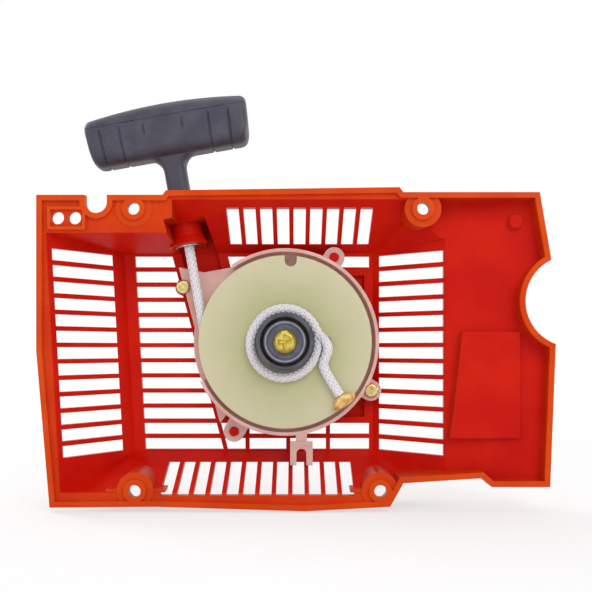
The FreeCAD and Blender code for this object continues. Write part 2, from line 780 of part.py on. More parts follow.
def rope_eyelet():
    guide_foot = boss_exit - up_rope * (guide_length + 1)
    ring = rope_cylinder(eyelet_radius, guide_foot, eyelet_height)
    flange_ring = rope_cylinder(eyelet_radius + eyelet_rim,
                                guide_foot - up_rope * eyelet_rim_thickness,
                                eyelet_rim_thickness)
    bore = rope_cylinder(rope_radius + 0.4, guide_foot - up_rope * 2, eyelet_height + 4)
    return ring.fuse(flange_ring).cut(bore)


# ---------------------------------------------------------------- handle
# The handle is drawn upright about the middle of its grip, then put on the rope line.
grip_low = -grip_height / 2
grip_high = grip_height / 2
cap_joint = grip_high - cap_height
knot_floor = grip_low + 4.0
stem_low = seat_gap - grip_middle
stem_foot = boss_exit + up_rope * seat_gap
grip_centre = boss_exit + up_rope * grip_middle
knot_seat = grip_centre + up_rope * knot_floor


def put_on_rope(shape):
    turn = FreeCAD.Rotation(V(0, 0, 1), up_rope)
    shape.Placement = FreeCAD.Placement(grip_centre, turn)
    return shape


def grip_block():
    half = grip_length / 2
    low_left, low_right = V(1.5 - half, 0, grip_low), V(half - 1.5, 0, grip_low)
    high_left, high_right = V(-half, 0, grip_high), V(half, 0, grip_high)
    crown = Part.Arc(high_right, V(0, 0, grip_high + grip_crown), high_left)
    edges = [Part.makeLine(low_left, low_right), Part.makeLine(low_right, high_right),
             crown.toShape(), Part.makeLine(high_left, low_left)]
    face = Part.Face(Part.Wire(edges))
    face.translate(V(0, grip_depth / 2, 0))
    block = face.extrude(V(0, -grip_depth, 0))
    rims = [edge for edge in block.Edges
            if abs(edge.Vertexes[0].Point.y - edge.Vertexes[-1].Point.y) < 0.01]
    return block.makeFillet(grip_round, rims)


def stem_solid():
    """Stem turned about the rope line, with a flared foot and a flare into the grip."""
    top = grip_low - stem_low + 3.0
    outline = [(0, 0), (stem_foot_radius, 0), (stem_foot_radius, 1.2),
               (stem_radius, stem_foot_height), (stem_radius, top - 3.0 - stem_flare),
               (stem_radius + stem_flare * 0.35, top - 3.0 - stem_flare * 0.35),
               (stem_radius + stem_flare, top - 3.0), (stem_radius + stem_flare, top), (0, top)]
    points = [V(radius, 0, height) for radius, height in outline]
    face = Part.Face(Part.makePolygon(points + points[:1]))
    stem = face.revolve(V(0, 0, 0), V(0, 0, 1), 360)
    stem = stem.common(Part.makeBox(80, grip_depth - 1.0, 200,
                                    V(-40, -(grip_depth - 1.0) / 2, -10)))
    stem.translate(V(0, 0, stem_low))
    return stem


def grip_grooves():
    low = grip_low - 2
    length = cap_joint - 1.5 - low
    cuts = []
    for place in groove_places:
        x = (place - 0.5) * grip_length - groove_width / 2
        for y in (grip_depth / 2 - groove_cut, groove_cut - 1.5 * grip_depth):
            cuts.append(Part.makeBox(groove_width, grip_depth, length, V(x, y, low)))
    return Part.makeCompound(cuts)


def cap_side(low):
    """A block that covers the handle from that level, for 200 mm."""
    return Part.makeBox(200, 100, 200, V(-100, -50, low))


def handle_body():
    body = grip_block().common(cap_side(cap_joint - 200)).fuse(stem_solid()).removeSplitter()
    bore = Part.makeCylinder(rope_radius + 0.3, 60, V(0, 0, stem_low - 1))
    pocket = Part.makeCylinder(knot_pocket_radius, 60, V(0, 0, knot_floor))
    return put_on_rope(body.cut(grip_grooves()).cut(bore.fuse(pocket)))


def handle_cap():
    return put_on_rope(grip_block().common(cap_side(cap_joint)))


def knot_washer():
    ring = rope_cylinder(knot_pocket_radius - 0.3, knot_seat, knot_washer_thickness)
    return ring.cut(rope_cylinder(rope_radius + 0.1, knot_seat - up_rope, 10))


def rope_knot():
    centre = knot_seat + up_rope * (knot_washer_thickness + knot_radius * 0.86)
    ball = Part.makeSphere(knot_radius, centre)
    flat = knot_seat + up_rope * knot_washer_thickness
    keep = rope_cylinder(30, flat, 60)
    return ball.common(keep)


# ---------------------------------------------------------------- write the pieces
def build():
    os.makedirs("parts", exist_ok=True)
    save("starter_housing", starter_housing())
    save("spring_cover_plate", spring_cover_plate())
    save("recoil_spring", recoil_spring())
    save("plate_screws", Part.makeCompound([plate_screw(x, z) for x, z in ear_screws]))
    save("rope_pulley", rope_pulley())
    save("hub_sleeve", tube(sleeve_radius, bush_radius, sleeve_end, groove_top))
    save("hub_bush", tube(bush_radius, post_radius + running_gap, bush_end, groove_top))
    save("centre_washer", centre_washer())
    save("centre_screw", centre_screw())
    save("post_insert", post_insert())
    save("rope_winding", rope_winding())
    save("rope_on_hub", rope_on_hub())
    save("rope_melted_end", rope_melted_end())
    save("rope_run", rope_run())
    save("rope_eyelet", rope_eyelet())
    save("handle_body", handle_body())
    save("handle_cap", handle_cap())
    save("knot_washer", knot_washer())
    save("rope_knot", rope_knot())


build()
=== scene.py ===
"""Looks of the recoil starter: a louvred moulded cover with its rope pulley, rope and T handle."""
import json
import math

import bmesh
import bpy
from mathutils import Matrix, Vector, noise


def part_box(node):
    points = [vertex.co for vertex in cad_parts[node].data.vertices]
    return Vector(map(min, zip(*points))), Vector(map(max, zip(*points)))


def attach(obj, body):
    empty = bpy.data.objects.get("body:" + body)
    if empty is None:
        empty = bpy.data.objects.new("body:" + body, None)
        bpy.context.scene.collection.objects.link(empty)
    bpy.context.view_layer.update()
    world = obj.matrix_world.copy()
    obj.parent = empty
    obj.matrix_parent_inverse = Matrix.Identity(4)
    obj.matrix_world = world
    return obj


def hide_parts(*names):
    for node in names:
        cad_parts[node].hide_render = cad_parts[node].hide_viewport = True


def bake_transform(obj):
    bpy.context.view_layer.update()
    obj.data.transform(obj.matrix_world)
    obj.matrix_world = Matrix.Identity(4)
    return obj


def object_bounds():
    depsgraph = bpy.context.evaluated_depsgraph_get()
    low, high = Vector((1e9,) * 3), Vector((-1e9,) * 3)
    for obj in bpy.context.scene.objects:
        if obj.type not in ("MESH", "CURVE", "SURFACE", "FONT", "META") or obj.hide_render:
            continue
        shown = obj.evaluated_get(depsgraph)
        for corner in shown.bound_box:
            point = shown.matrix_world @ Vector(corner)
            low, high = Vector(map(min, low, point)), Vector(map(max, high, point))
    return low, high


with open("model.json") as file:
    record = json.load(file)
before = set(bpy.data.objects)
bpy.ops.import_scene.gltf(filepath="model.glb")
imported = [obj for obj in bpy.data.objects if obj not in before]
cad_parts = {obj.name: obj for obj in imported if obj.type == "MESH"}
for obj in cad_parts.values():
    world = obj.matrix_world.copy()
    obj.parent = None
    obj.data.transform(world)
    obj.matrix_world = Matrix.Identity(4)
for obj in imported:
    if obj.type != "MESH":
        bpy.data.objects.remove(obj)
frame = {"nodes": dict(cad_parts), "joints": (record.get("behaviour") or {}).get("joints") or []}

cad_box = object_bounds()
mm = 0.001


# ------------------------------------------------------------------ studio
# A pale table in a white room, with large soft lamps on both faces of the cover and above it.
# The lens looks square on at the engine side, from as far as such a part is usually held.
class Wire:
    """One socket of a node tree. Sums and products of it add Math nodes to the same tree."""

    def __init__(self, tree, socket=None):
        self.tree = tree
        self.socket = socket

    def make(self, kind, inputs=(), output=0, **settings):
        """Add a node: its settings first, then the values or links of its sockets."""
        node = self.tree.nodes.new("ShaderNode" + kind)
        for name, value in settings.items():
            setattr(node, name, value)
        for name, value in dict(inputs).items():
            if isinstance(value, Wire):
                self.tree.links.new(value.socket, node.inputs[name])
            else:
                node.inputs[name].default_value = value
        return Wire(self.tree, node.outputs[output]) if node.outputs else None

    def maths(self, operation, first, second=0.0):
        return self.make("Math", {0: first, 1: second}, operation=operation)

    def __add__(self, other):
        return self.maths("ADD", self, other)

    def __radd__(self, other):
        return self.maths("ADD", other, self)

    def __sub__(self, other):
        return self.maths("SUBTRACT", self, other)

    def __rsub__(self, other):
        return self.maths("SUBTRACT", other, self)

    def __mul__(self, other):
        return self.maths("MULTIPLY", self, other)

    def __rmul__(self, other):
        return self.maths("MULTIPLY", other, self)

    def between(self, low, high):
        """0 below low, 1 above high, and a smooth step from one to the other."""
        return self.make("MapRange", {0: self, 1: low, 2: high}, interpolation_type="SMOOTHSTEP")

    def tint(self, low, high):
        """A colour between two colours, with this value as the factor."""
        return self.make("Mix", {0: self, 6: low, 7: high}, output=2, data_type="RGBA")


def empty_tree(owner):
    owner.use_nodes = True
    owner.node_tree.nodes.clear()
    return Wire(owner.node_tree)


def shown_to_eye(start):
    """1 where the lens, a reflection or a see-through piece shows the room itself."""
    lens = start.make("LightPath", output="Is Camera Ray")
    gloss = start.make("LightPath", output="Is Glossy Ray")
    through = start.make("LightPath", output="Is Transmission Ray")
    return start.maths("MAXIMUM", lens, start.maths("MAXIMUM", gloss, through))


white = (1.0, 1.0, 1.0, 1.0)
room_light = 0.55
world = bpy.data.worlds.new("studio")
bpy.context.scene.world = world
air = empty_tree(world)
room = air.make("MixShader", {
    0: shown_to_eye(air),
    1: air.make("Background", {"Color": white, "Strength": room_light}),
    2: air.make("Background", {"Color": white, "Strength": 1.0})})
air.make("OutputWorld", {"Surface": room})

table_half = 3.0
table_gap = 0.6 * mm
table_glow = 0.6             # how far the lens sees the table as white, near the part
table_fade = (0.16, 0.55)    # in metres from the part; the table is white beyond
table_top = cad_box[0].z - table_gap
table_mesh = bpy.data.meshes.new("table")
table_mesh.from_pydata([(x * table_half, y * table_half, table_top)
                        for x, y in ((-1, -1), (1, -1), (1, 1), (-1, 1))], [], [(0, 1, 2, 3)])
table = bpy.data.objects.new("table", table_mesh)
bpy.context.scene.collection.objects.link(table)
table_paint = bpy.data.materials.new("table_paint")
paint = empty_tree(table_paint)
from_part = paint.make("VectorMath", {0: paint.make("TexCoord", output="Object")},
                       output="Value", operation="LENGTH")
paint.make("OutputMaterial", {"Surface": paint.make("MixShader", {
    0: shown_to_eye(paint) * (table_glow + from_part.between(*table_fade) * (1 - table_glow)),
    1: paint.make("BsdfDiffuse", {"Color": (0.85, 0.85, 0.85, 1.0)}),
    2: paint.make("Emission", {"Color": white, "Strength": 1.0})})})
table_mesh.materials.append(table_paint)


def soft_lamp(name, place, size, power):
    """A square lamp that shines at the pulley."""
    light = bpy.data.lights.new(name, "AREA")
    light.size = size
    light.energy = power
    lamp = bpy.data.objects.new(name, light)
    lamp.location = place
    lamp.rotation_euler = (-Vector(place)).to_track_quat("-Z", "Y").to_euler()
    bpy.context.scene.collection.objects.link(lamp)


soft_lamp("lamp_engine_side", (-0.35, 0.80, 0.55), 0.5, 3.4)
soft_lamp("lamp_engine_side_low", (0.55, 0.75, 0.05), 0.6, 1.2)
soft_lamp("lamp_outside", (0.75, -0.38, 0.60), 0.4, 4.4)
soft_lamp("lamp_outside_low", (-0.85, -0.35, 0.10), 0.5, 3.0)
soft_lamp("lamp_above", (0.0, 0.0, 0.95), 0.6, 2.0)

view_distance = 375 * mm     # from the lens to the mounting rim
view_width = 262 * mm        # of the picture, on the plane of the rim
view_height = -3 * mm        # the lens is level with the pulley's axis
lens = bpy.data.cameras.new("lens")
lens.sensor_width = 36.0
lens.lens = lens.sensor_width * view_distance / view_width
lens.shift_y = ((cad_box[0].z + cad_box[1].z) / 2 - view_height) / view_width
lens.clip_start = 0.01
camera = bpy.data.objects.new("lens", lens)
camera.location = ((cad_box[0].x + cad_box[1].x) / 2, view_distance, view_height)
camera.rotation_euler = (math.radians(90), 0, math.radians(180))
bpy.context.scene.collection.objects.link(camera)
bpy.context.scene.camera = camera
bpy.context.scene.view_settings.view_transform = "Standard"


# ------------------------------------------------------------------ cover
# The side cover is one injection moulding in orange-red nylon with a satin skin. The mould
# rounds its edges, which the shading does here, and its walls are a little cloudy and wavy. Its rim
# edges are painted lighter as painted highlight, and its inside deeper red as painted shade.
def srgb(red, green, blue):
    """A colour from its usual 0 to 255 values."""
    parts = [value / 255 for value in (red, green, blue)]
    linear = [p / 12.92 if p <= 0.04045 else ((p + 0.055) / 1.055) ** 2.4 for p in parts]
    return (*linear, 1.0)


def surface(name, skin, **constants):
    """A material; skin(wire) gives what varies over it, and the constants are its other sockets."""
    material = bpy.data.materials.new(name)
    start = empty_tree(material)
    sockets = {key.replace("_", " "): value for key, value in constants.items()}
    sockets.update(skin(start))
    start.make("OutputMaterial", {"Surface": start.make("BsdfPrincipled", sockets)})
    return material


def speckle(start, size, detail, rough=0.5):
    """Cloudy noise from 0 to 1; size is its grain in metres."""
    place = start.make("TexCoord", output="Object")
    return start.make("TexNoise", {"Vector": place, "Scale": 1 / size, "Detail": detail,
                                   "Roughness": rough})


def relief(start, height, depth, **more):
    """Unevenness of the skin, where a height of 1 stands for that depth."""
    return start.make("Bump", {"Height": height, "Distance": depth, **more})


def reach_along(start, place, way):
    """How far a place or a direction reaches along another direction."""
    return start.make("VectorMath", {0: place, 1: way}, output="Value", operation="DOT_PRODUCT")


def dressed(node, material):
    """Give a carried-over piece its finish."""
    mesh = frame["nodes"][node].data
    mesh.materials.clear()
    mesh.materials.append(material)


def cover_nylon():
    """Orange-red outside, with painted highlight that lightens the rim edges, and painted shade that
    deepens the red inside, which is also more matt.
    """
    def skin(start):
        rounding = start.make("Bevel", {"Radius": 0.45 * mm}, samples=8)
        clouds = speckle(start, 22 * mm, 3.0).between(0.3, 0.7)
        grain = speckle(start, 0.45 * mm, 3.0, 0.6)
        waves = speckle(start, 14 * mm, 1.0)
        dust = speckle(start, 0.9 * mm, 4.0, 0.7).between(0.72, 0.82)
        facing = start.make("NewGeometry", output="Normal")
        place = start.make("TexCoord", output="Object")
        inwards = reach_along(start, facing, (0.0, 1.0, 0.0)).between(0.03, 0.16)
        depth = reach_along(start, place, (0.0, -1.0, 0.0)).between(0.6 * mm, 2.4 * mm)
        inside = inwards * depth
        # Painted light: the rim edges on the engine side get a lighter orange as painted highlight,
        # and the inward faces a deeper red as painted shade.
        outer = clouds.tint(srgb(190, 42, 3), srgb(202, 54, 6))
        inner_painted_shade = clouds.tint(srgb(196, 13, 0), srgb(208, 26, 2))
        rim_painted_highlight = clouds.tint(srgb(208, 62, 4), srgb(218, 74, 8))
        body = depth.tint(rim_painted_highlight, inside.tint(outer, inner_painted_shade))
        return {"Base Color": (dust * 0.3).tint(body, srgb(226, 96, 40)),
                "Roughness": 0.34 + inside * 0.20 + (clouds - 0.5) * 0.08 + dust * 0.08,
                "Normal": relief(start, grain * 0.5 + waves * 1.5, 0.02 * mm, Normal=rounding)}
    return surface("cover_plastic", skin, Specular_IOR_Level=0.12)


dressed("starter_housing", cover_nylon())


# ------------------------------------------------------------------ spring cover plate
# A thin plate in natural nylon closes the spring chamber, held by two screws and two pins of
# the cover. Its pink tint is painted reflected light from the red cover, and a faint painted glow
# stands for the light through it.
def moulded(name, dark, light, shine, grain_depth, patch=22 * mm, **constants):
    """Moulded plastic: cloudy tone, uneven shine and a fine skin."""
    def skin(start):
        clouds = speckle(start, patch, 3.0)
        grain = speckle(start, 0.45 * mm, 3.0, 0.6)
        waves = speckle(start, 14 * mm, 1.0)
        dust = speckle(start, 0.9 * mm, 4.0, 0.7).between(0.70, 0.80)
        tone = clouds.between(0.3, 0.7)
        return {"Base Color": (tone * 0.85 + dust * 0.15).tint(dark, light),
                "Roughness": shine + (clouds - 0.5) * 0.12 + (grain - 0.5) * 0.10 + dust * 0.08,
                "Normal": relief(start, grain * 0.5 + waves * 1.5, grain_depth)}
    return surface(name, skin, **constants)


def new_piece(name, shape, material, smooth_angle=35):
    """Turn a bmesh into an object with its material."""
    bmesh.ops.recalc_face_normals(shape, faces=shape.faces)
    mesh = bpy.data.meshes.new(name)
    shape.to_mesh(mesh)
    shape.free()
    mesh.materials.append(material)
    mesh.shade_smooth()
    mesh.set_sharp_from_angle(angle=math.radians(smooth_angle))
    piece = bpy.data.objects.new(name, mesh)
    bpy.context.scene.collection.objects.link(piece)
    return piece


def rounded_copy(node, name, material, width, segments=2):
    """Copy of a piece whose sharp edges are rounded off by that width."""
    angle = 28
    shape = bmesh.new()
    shape.from_mesh(frame["nodes"][node].data)
    bmesh.ops.remove_doubles(shape, verts=shape.verts, dist=0.01 * mm)
    piece = new_piece(name, shape, material, angle)
    old_normals = piece.data.attributes.get("custom_normal")
    if old_normals:
        piece.data.attributes.remove(old_normals)
    edge = piece.modifiers.new("rounding", "BEVEL")
    edge.width = width
    edge.segments = segments
    edge.limit_method = "ANGLE"
    edge.angle_limit = math.radians(angle)
    edge.use_clamp_overlap = False
    edge.harden_normals = True
    even = piece.modifiers.new("evening", "WEIGHTED_NORMAL")
    even.keep_sharp = True
    return piece


def fitted(piece, body, slot, *nodes):
    """Hang a piece on the empty of the body it rides on, and hide the pieces it stands for. The slot
    is not used.
    """
    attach(piece, body)
    if nodes:
        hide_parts(*nodes)
    return piece


# Painted light: the pink base colour is the red cover's reflected light, and the emission is a
# painted glow for light through the plate.
plate_skin = moulded("plate_nylon", srgb(198, 160, 152), srgb(216, 184, 178), 0.42, 0.012 * mm,
                     patch=12 * mm, Subsurface_Weight=0.35, Subsurface_Scale=4 * mm,
                     Subsurface_Radius=(1.0, 0.6, 0.5), Emission_Strength=0.10,
                     Emission_Color=srgb(214, 150, 138))
fitted(rounded_copy("spring_cover_plate", "spring_plate", plate_skin, 0.25 * mm),
       "cover", "plate_nylon", "spring_cover_plate")


# ------------------------------------------------------------------ recoil spring
# A long strip of blued spring steel, coiled flat in the chamber behind the plate. It pulls
# between the cover and the pulley, and winds the rope back in.
def metal(name, dark, light, shine):
    """Bare or plated metal: patchy tone with fine scratches."""
    def skin(start):
        patches = speckle(start, 3 * mm, 3.0)
        fine = speckle(start, 0.25 * mm, 4.0, 0.7)
        return {"Base Color": patches.between(0.3, 0.7).tint(dark, light),
                "Roughness": shine + (fine - 0.5) * 0.25 + (patches - 0.5) * 0.15,
                "Normal": relief(start, fine, 0.006 * mm)}
    return surface(name, skin, Metallic=1.0)


dressed("recoil_spring", metal("spring_steel", srgb(70, 78, 100), srgb(110, 116, 132), 0.34))


# ------------------------------------------------------------------ plate screws
# Two small pan head steel screws, plated in yellow zinc and cut with a cross recess. They
# go through the plate into the cover.
zinc_skin = metal("yellow_zinc", srgb(196, 176, 104), srgb(226, 214, 160), 0.30)
fitted(rounded_copy("plate_screws", "plate_screw_pair", zinc_skin, 0.12 * mm),
       "cover", "yellow_zinc", "plate_screws")


# ------------------------------------------------------------------ rope pulley
# The pulley is moulded in natural nylon, a yellowish green white. Round the hub its colour is
# painted deeper, as painted shade where the wound rope stops the light. A faint painted glow stands
# for the light through its flange.
def from_axis(start):
    """Distance from the pulley's axis."""
    place = start.make("TexCoord", output="Object")
    flat = start.make("VectorMath", {0: place, 1: (1.0, 0.0, 1.0)}, operation="MULTIPLY")
    return start.make("VectorMath", {0: flat}, output="Value", operation="LENGTH")


def pulley_nylon():
    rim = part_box("rope_pulley")[1].x

    def skin(start):
        clouds = speckle(start, 16 * mm, 3.0)
        grain = speckle(start, 0.5 * mm, 3.0, 0.6)
        specks = speckle(start, 1.3 * mm, 3.0, 0.6).between(0.72, 0.80)
        rounding = start.make("Bevel", {"Radius": 0.4 * mm}, samples=8)
        # Painted shade: the nylon is painted darker and greener towards the hub, where the wound
        # rope stops the light.
        outwards = (from_axis(start) * (1 / rim) + (clouds - 0.5) * 0.35).between(0.35, 1.0)
        body = outwards.tint(srgb(176, 178, 128), srgb(200, 196, 162))
        return {"Base Color": (specks * 0.35).tint(body, srgb(176, 160, 120)),
                "Roughness": 0.40 + (clouds - 0.5) * 0.12 + (grain - 0.5) * 0.1,
                "Normal": relief(start, grain + clouds * 2.0, 0.015 * mm, Normal=rounding)}
    return surface("pulley_nylon", skin, Subsurface_Weight=0.35, Subsurface_Scale=4 * mm,
                   Subsurface_Radius=(1.0, 1.0, 0.6), Emission_Strength=0.06,
                   Emission_Color=srgb(214, 210, 170))


dressed("rope_pulley", pulley_nylon())


# ------------------------------------------------------------------ hub
# The dark plastic sleeve on the pulley's hub turns the engine through its pawls. A bronze
# bush inside it runs on the post, and a slate plastic washer holds the pulley there.
hub_skin = moulded("hub_plastic", srgb(58, 58, 68), srgb(84, 84, 96), 0.40, 0.01 * mm,
                   patch=5 * mm)
fitted(rounded_copy("hub_sleeve", "drive_sleeve", hub_skin, 0.45 * mm, 3),
       "pulley", "hub_plastic", "hub_sleeve")
dressed("hub_bush", metal("bush_bronze", srgb(38, 34, 34), srgb(62, 54, 48), 0.5))


def about_axis(degrees, radius, depth):
    """A place about the pulley's axis, at a depth below the cover's rim."""
    turn = math.radians(degrees)
    return Vector((radius * math.cos(turn), -depth, radius * math.sin(turn)))


def lathed(name, profile, material):
    """Turn a closed outline of (radius, depth) points about the pulley's axis."""
    sides = 96
    shape = bmesh.new()
    rings = [[shape.verts.new(about_axis(360 * side / sides, radius, depth))
              for side in range(sides)] for radius, depth in profile]
    for low, high in zip(rings, rings[1:] + rings[:1]):
        for side in range(sides):
            shape.faces.new((low[side - 1], low[side], high[side], high[side - 1]))
    return new_piece(name, shape, material)


def washer_profile():
    """Flat washer with a rounded rim and a shallow turned groove near it."""
    low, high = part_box("centre_washer")
    rim = high.x
    top = -high.y
    foot = -low.y
    bore = 2.6 * mm
    chamfer = 0.22 * mm
    rim_round = 0.35 * mm
    groove = rim - 1.7 * mm
    groove_floor = top + 0.3 * mm
    return [(bore, foot), (bore, top + chamfer), (bore + chamfer, top),
            (groove - 0.5 * mm, top), (groove - 0.3 * mm, groove_floor),
            (groove + 0.1 * mm, groove_floor), (groove + 0.3 * mm, top),
            (rim - rim_round, top), (rim - 0.1 * mm, top + 0.1 * mm), (rim, top + rim_round),
            (rim, foot - chamfer), (rim - chamfer, foot)]


def washer_skin():
    """Slate plastic, with a pale ring of painted highlight along the raised edge of its groove."""
    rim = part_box("centre_washer")[1].x

    def skin(start):
        reach = from_axis(start)
        clouds = speckle(start, 4 * mm, 3.0)
        # Painted highlight: a pale ring where the raised edge by the groove catches the light.
        painted_groove_edge_highlight = reach.between(rim - 1.5 * mm, rim - 1.2 * mm)
        painted_groove_edge_highlight = painted_groove_edge_highlight * (1 - reach.between(rim - 0.9 * mm, rim - 0.5 * mm))
        body = clouds.between(0.3, 0.7).tint(srgb(72, 72, 86), srgb(94, 94, 110))
        return {"Base Color": (painted_groove_edge_highlight * (0.3 + clouds * 0.7)).tint(body, srgb(186, 186, 200)),
                "Roughness": 0.32 + clouds * 0.12,
                "Normal": relief(start, clouds, 0.01 * mm)}
    return surface("washer_plastic", skin)


fitted(lathed("hub_washer", washer_profile(), washer_skin()), "cover", "hub_plastic",
       "centre_washer")


# ------------------------------------------------------------------ centre screw
# A brass-coloured screw with a cross recess holds the washer down. It bites into a brass
# insert that is set in the post of the cover.
brass_skin = metal("brass", srgb(172, 146, 46), srgb(226, 206, 106), 0.26)
fitted(rounded_copy("centre_screw", "hub_screw", brass_skin, 0.2 * mm, 3),
       "cover", "brass", "centre_screw")
dressed("post_insert", brass_skin)


# ------------------------------------------------------------------ rope on the hub
# White braided polyamide rope, 4.8 mm thick, of eight strands each way. Its inner end comes
# out of the pulley, goes once round the hub sleeve, and lies over the pulley as a short tail.
rope_radius = 2.4 * mm
rope_lay = 21 * mm           # length of one turn of a strand
strands_each_way = 8
strand_half_thick = 0.38 * mm
strand_half_broad = 0.64 * mm
weave_lift = 0.24 * mm       # how far a strand rises and dips as it passes over and under
strand_sides = 6
core_sides = 12
depth_way = Vector((0, 1, 0))     # out of the cover, towards the engine


def rope_fibre():
    def skin(start):
        fuzz = speckle(start, 0.16 * mm, 4.0, 0.7)
        patches = speckle(start, 5 * mm, 2.0)
        grime = speckle(start, 1.1 * mm, 3.0, 0.6).between(0.66, 0.80)
        clean = patches.tint(srgb(226, 225, 231), srgb(243, 242, 245))
        # Painted shade: the strands are painted darker grey in the crevices between them, from
        # ambient occlusion.
        ao_for_painted_shade = start.make("AmbientOcclusion", {"Distance": 0.9 * mm}, output="AO", samples=6)
        strand = ao_for_painted_shade.between(0.30, 0.85).tint(srgb(124, 120, 130), clean)
        return {"Base Color": (grime * 0.35).tint(strand, srgb(176, 172, 182)),
                "Roughness": 0.62 + fuzz * 0.2,
                "Normal": relief(start, fuzz, 0.05 * mm)}
    return surface("rope_braid", skin, Sheen_Weight=0.15, Specular_IOR_Level=0.3)


def smooth_line(points):
    """Evenly flowing points along a curve that is drawn through its control points."""
    curve = bpy.data.curves.new("route", "CURVE")
    curve.dimensions = "3D"
    curve.resolution_u = 24
    spline = curve.splines.new("NURBS")
    spline.points.add(len(points) - 1)
    for knot, point in zip(spline.points, points):
        knot.co = (*point, 1.0)
    spline.order_u = 4
    spline.use_endpoint_u = True
    route = bpy.data.objects.new("route", curve)
    mesh = bpy.data.meshes.new_from_object(route)
    line = [corner.co.copy() for corner in mesh.vertices]
    bpy.data.objects.remove(route)
    return line


def stations(line, step):
    """Places along a line, a step apart, each with its direction and distance."""
    spread = []
    travelled = 0.0
    wanted = 0.0
    for here, there in zip(line, line[1:]):
        run = (there - here).length
        while run > 0 and wanted <= travelled + run:
            spread.append((here.lerp(there, (wanted - travelled) / run), wanted))
            wanted += step
        travelled += run
    places = []
    for index, (point, distance) in enumerate(spread):
        ahead = spread[min(index + 1, len(spread) - 1)][0]
        behind = spread[max(index - 1, 0)][0]
        places.append((point, (ahead - behind).normalized(), distance))
    return places


def oval(centre, side, up, corners):
    """Points round a centre; side and up reach from it to the rim."""
    turns = [math.tau * corner / corners for corner in range(corners)]
    return [centre + side * math.cos(turn) + up * math.sin(turn) for turn in turns]


def tube_skin(shape, rings):
    """Join rings of points into a closed skin."""
    loops = [[shape.verts.new(point) for point in ring] for ring in rings]
    for low, high in zip(loops, loops[1:]):
        for side in range(len(low)):
            shape.faces.new((low[side - 1], low[side], high[side], high[side - 1]))
    shape.faces.new(loops[0])
    shape.faces.new(loops[-1])


def braided(name, line, material, radius=rope_radius, fineness=6):
    """A braid along a line: strands wind both ways, over two and under two."""
    shape = bmesh.new()
    middle = radius - strand_half_thick - weave_lift
    frames = []
    for point, along, distance in stations(line, rope_lay / (fineness * strands_each_way)):
        side = along.cross(depth_way).normalized()
        frames.append((point, side, side.cross(along).normalized(), distance))
    for way in (1, -1):
        for strand in range(strands_each_way):
            centres = []
            for point, side, up, distance in frames:
                turned = math.tau * (strand / strands_each_way + way * distance / rope_lay)
                outwards = side * math.cos(turned) + up * math.sin(turned)
                weave = math.pi * strand + way * math.pi * strands_each_way * distance / rope_lay
                over = way * math.cos(weave - math.pi / 4)
                centres.append((point + outwards * (middle + weave_lift * over), outwards))
            rings = []
            for index, (centre, outwards) in enumerate(centres):
                ahead = centres[min(index + 1, len(centres) - 1)][0]
                behind = centres[max(index - 1, 0)][0]
                across = (ahead - behind).normalized().cross(outwards).normalized()
                rings.append(oval(centre, across * strand_half_broad,
                                  outwards * strand_half_thick, strand_sides))
            tube_skin(shape, rings)
    core = radius - 2 * strand_half_thick
    tube_skin(shape, [oval(point, side * core, up * core, core_sides)
                      for point, side, up, distance in frames])
    return new_piece(name, shape, material, 60)


rope_skin = rope_fibre()
hub_wrap_depth = -(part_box("rope_on_hub")[0].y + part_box("rope_on_hub")[1].y) / 2
wrap_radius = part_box("hub_sleeve")[1].x + rope_radius
loose = 1.3 * mm             # the wrap stands off the sleeve at the lower side
wrap = [about_axis(178, wrap_radius + 2.5 * mm, hub_wrap_depth + 2.0 * mm)]
for degrees in range(165, -196, -15):
    slack = loose * max(0.0, math.cos(math.radians(degrees + 60)))
    wrap.append(about_axis(degrees, wrap_radius + slack, hub_wrap_depth))
fitted(braided("hub_wrap", smooth_line(wrap), rope_skin), "pulley", "rope_braid", "rope_on_hub")

melt_low, melt_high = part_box("rope_melted_end")
melt_middle = (melt_low + melt_high) / 2
knuckle = wrap_radius + 4.4 * mm
tail_way = about_axis(215, knuckle + 1.5 * mm, hub_wrap_depth)
tail = [about_axis(168, wrap_radius, hub_wrap_depth),
        about_axis(175, wrap_radius + 2.4 * mm, hub_wrap_depth - 1.4 * mm),
        about_axis(184, knuckle, hub_wrap_depth - 1.8 * mm),
        about_axis(194, knuckle + 0.4 * mm, hub_wrap_depth - 1.4 * mm),
        about_axis(206, knuckle - 0.2 * mm, hub_wrap_depth - 0.4 * mm), tail_way,
        melt_middle.lerp(tail_way, 0.5), melt_middle.lerp(tail_way, 0.14)]
fitted(braided("rope_tail", smooth_line(tail), rope_skin), "pulley", "rope_braid")


# ------------------------------------------------------------------ melted rope end
# The cut end of the rope is melted so that it can't fray. It is a flared amber lump, pressed
# flat while soft, with a few char marks.
def melted_skin():
    def skin(start):
        clouds = speckle(start, 2.5 * mm, 3.0)
        char = speckle(start, 1.2 * mm, 2.0).between(0.62, 0.70)
        amber = clouds.between(0.3, 0.7).tint(srgb(206, 156, 66), srgb(240, 208, 130))
        return {"Base Color": (char * 0.7).tint(amber, srgb(84, 62, 40)),
                "Roughness": 0.32 + clouds * 0.2,
                "Normal": relief(start, clouds, 0.2 * mm)}
    return surface("rope_melt", skin, Subsurface_Weight=0.2, Subsurface_Scale=1.5 * mm)


def step_between(value, low, high):
    """0 below low, 1 above high, and a smooth step from one to the other."""
    share = min(1.0, max(0.0, (value - low) / (high - low)))
    return share * share * (3 - 2 * share)


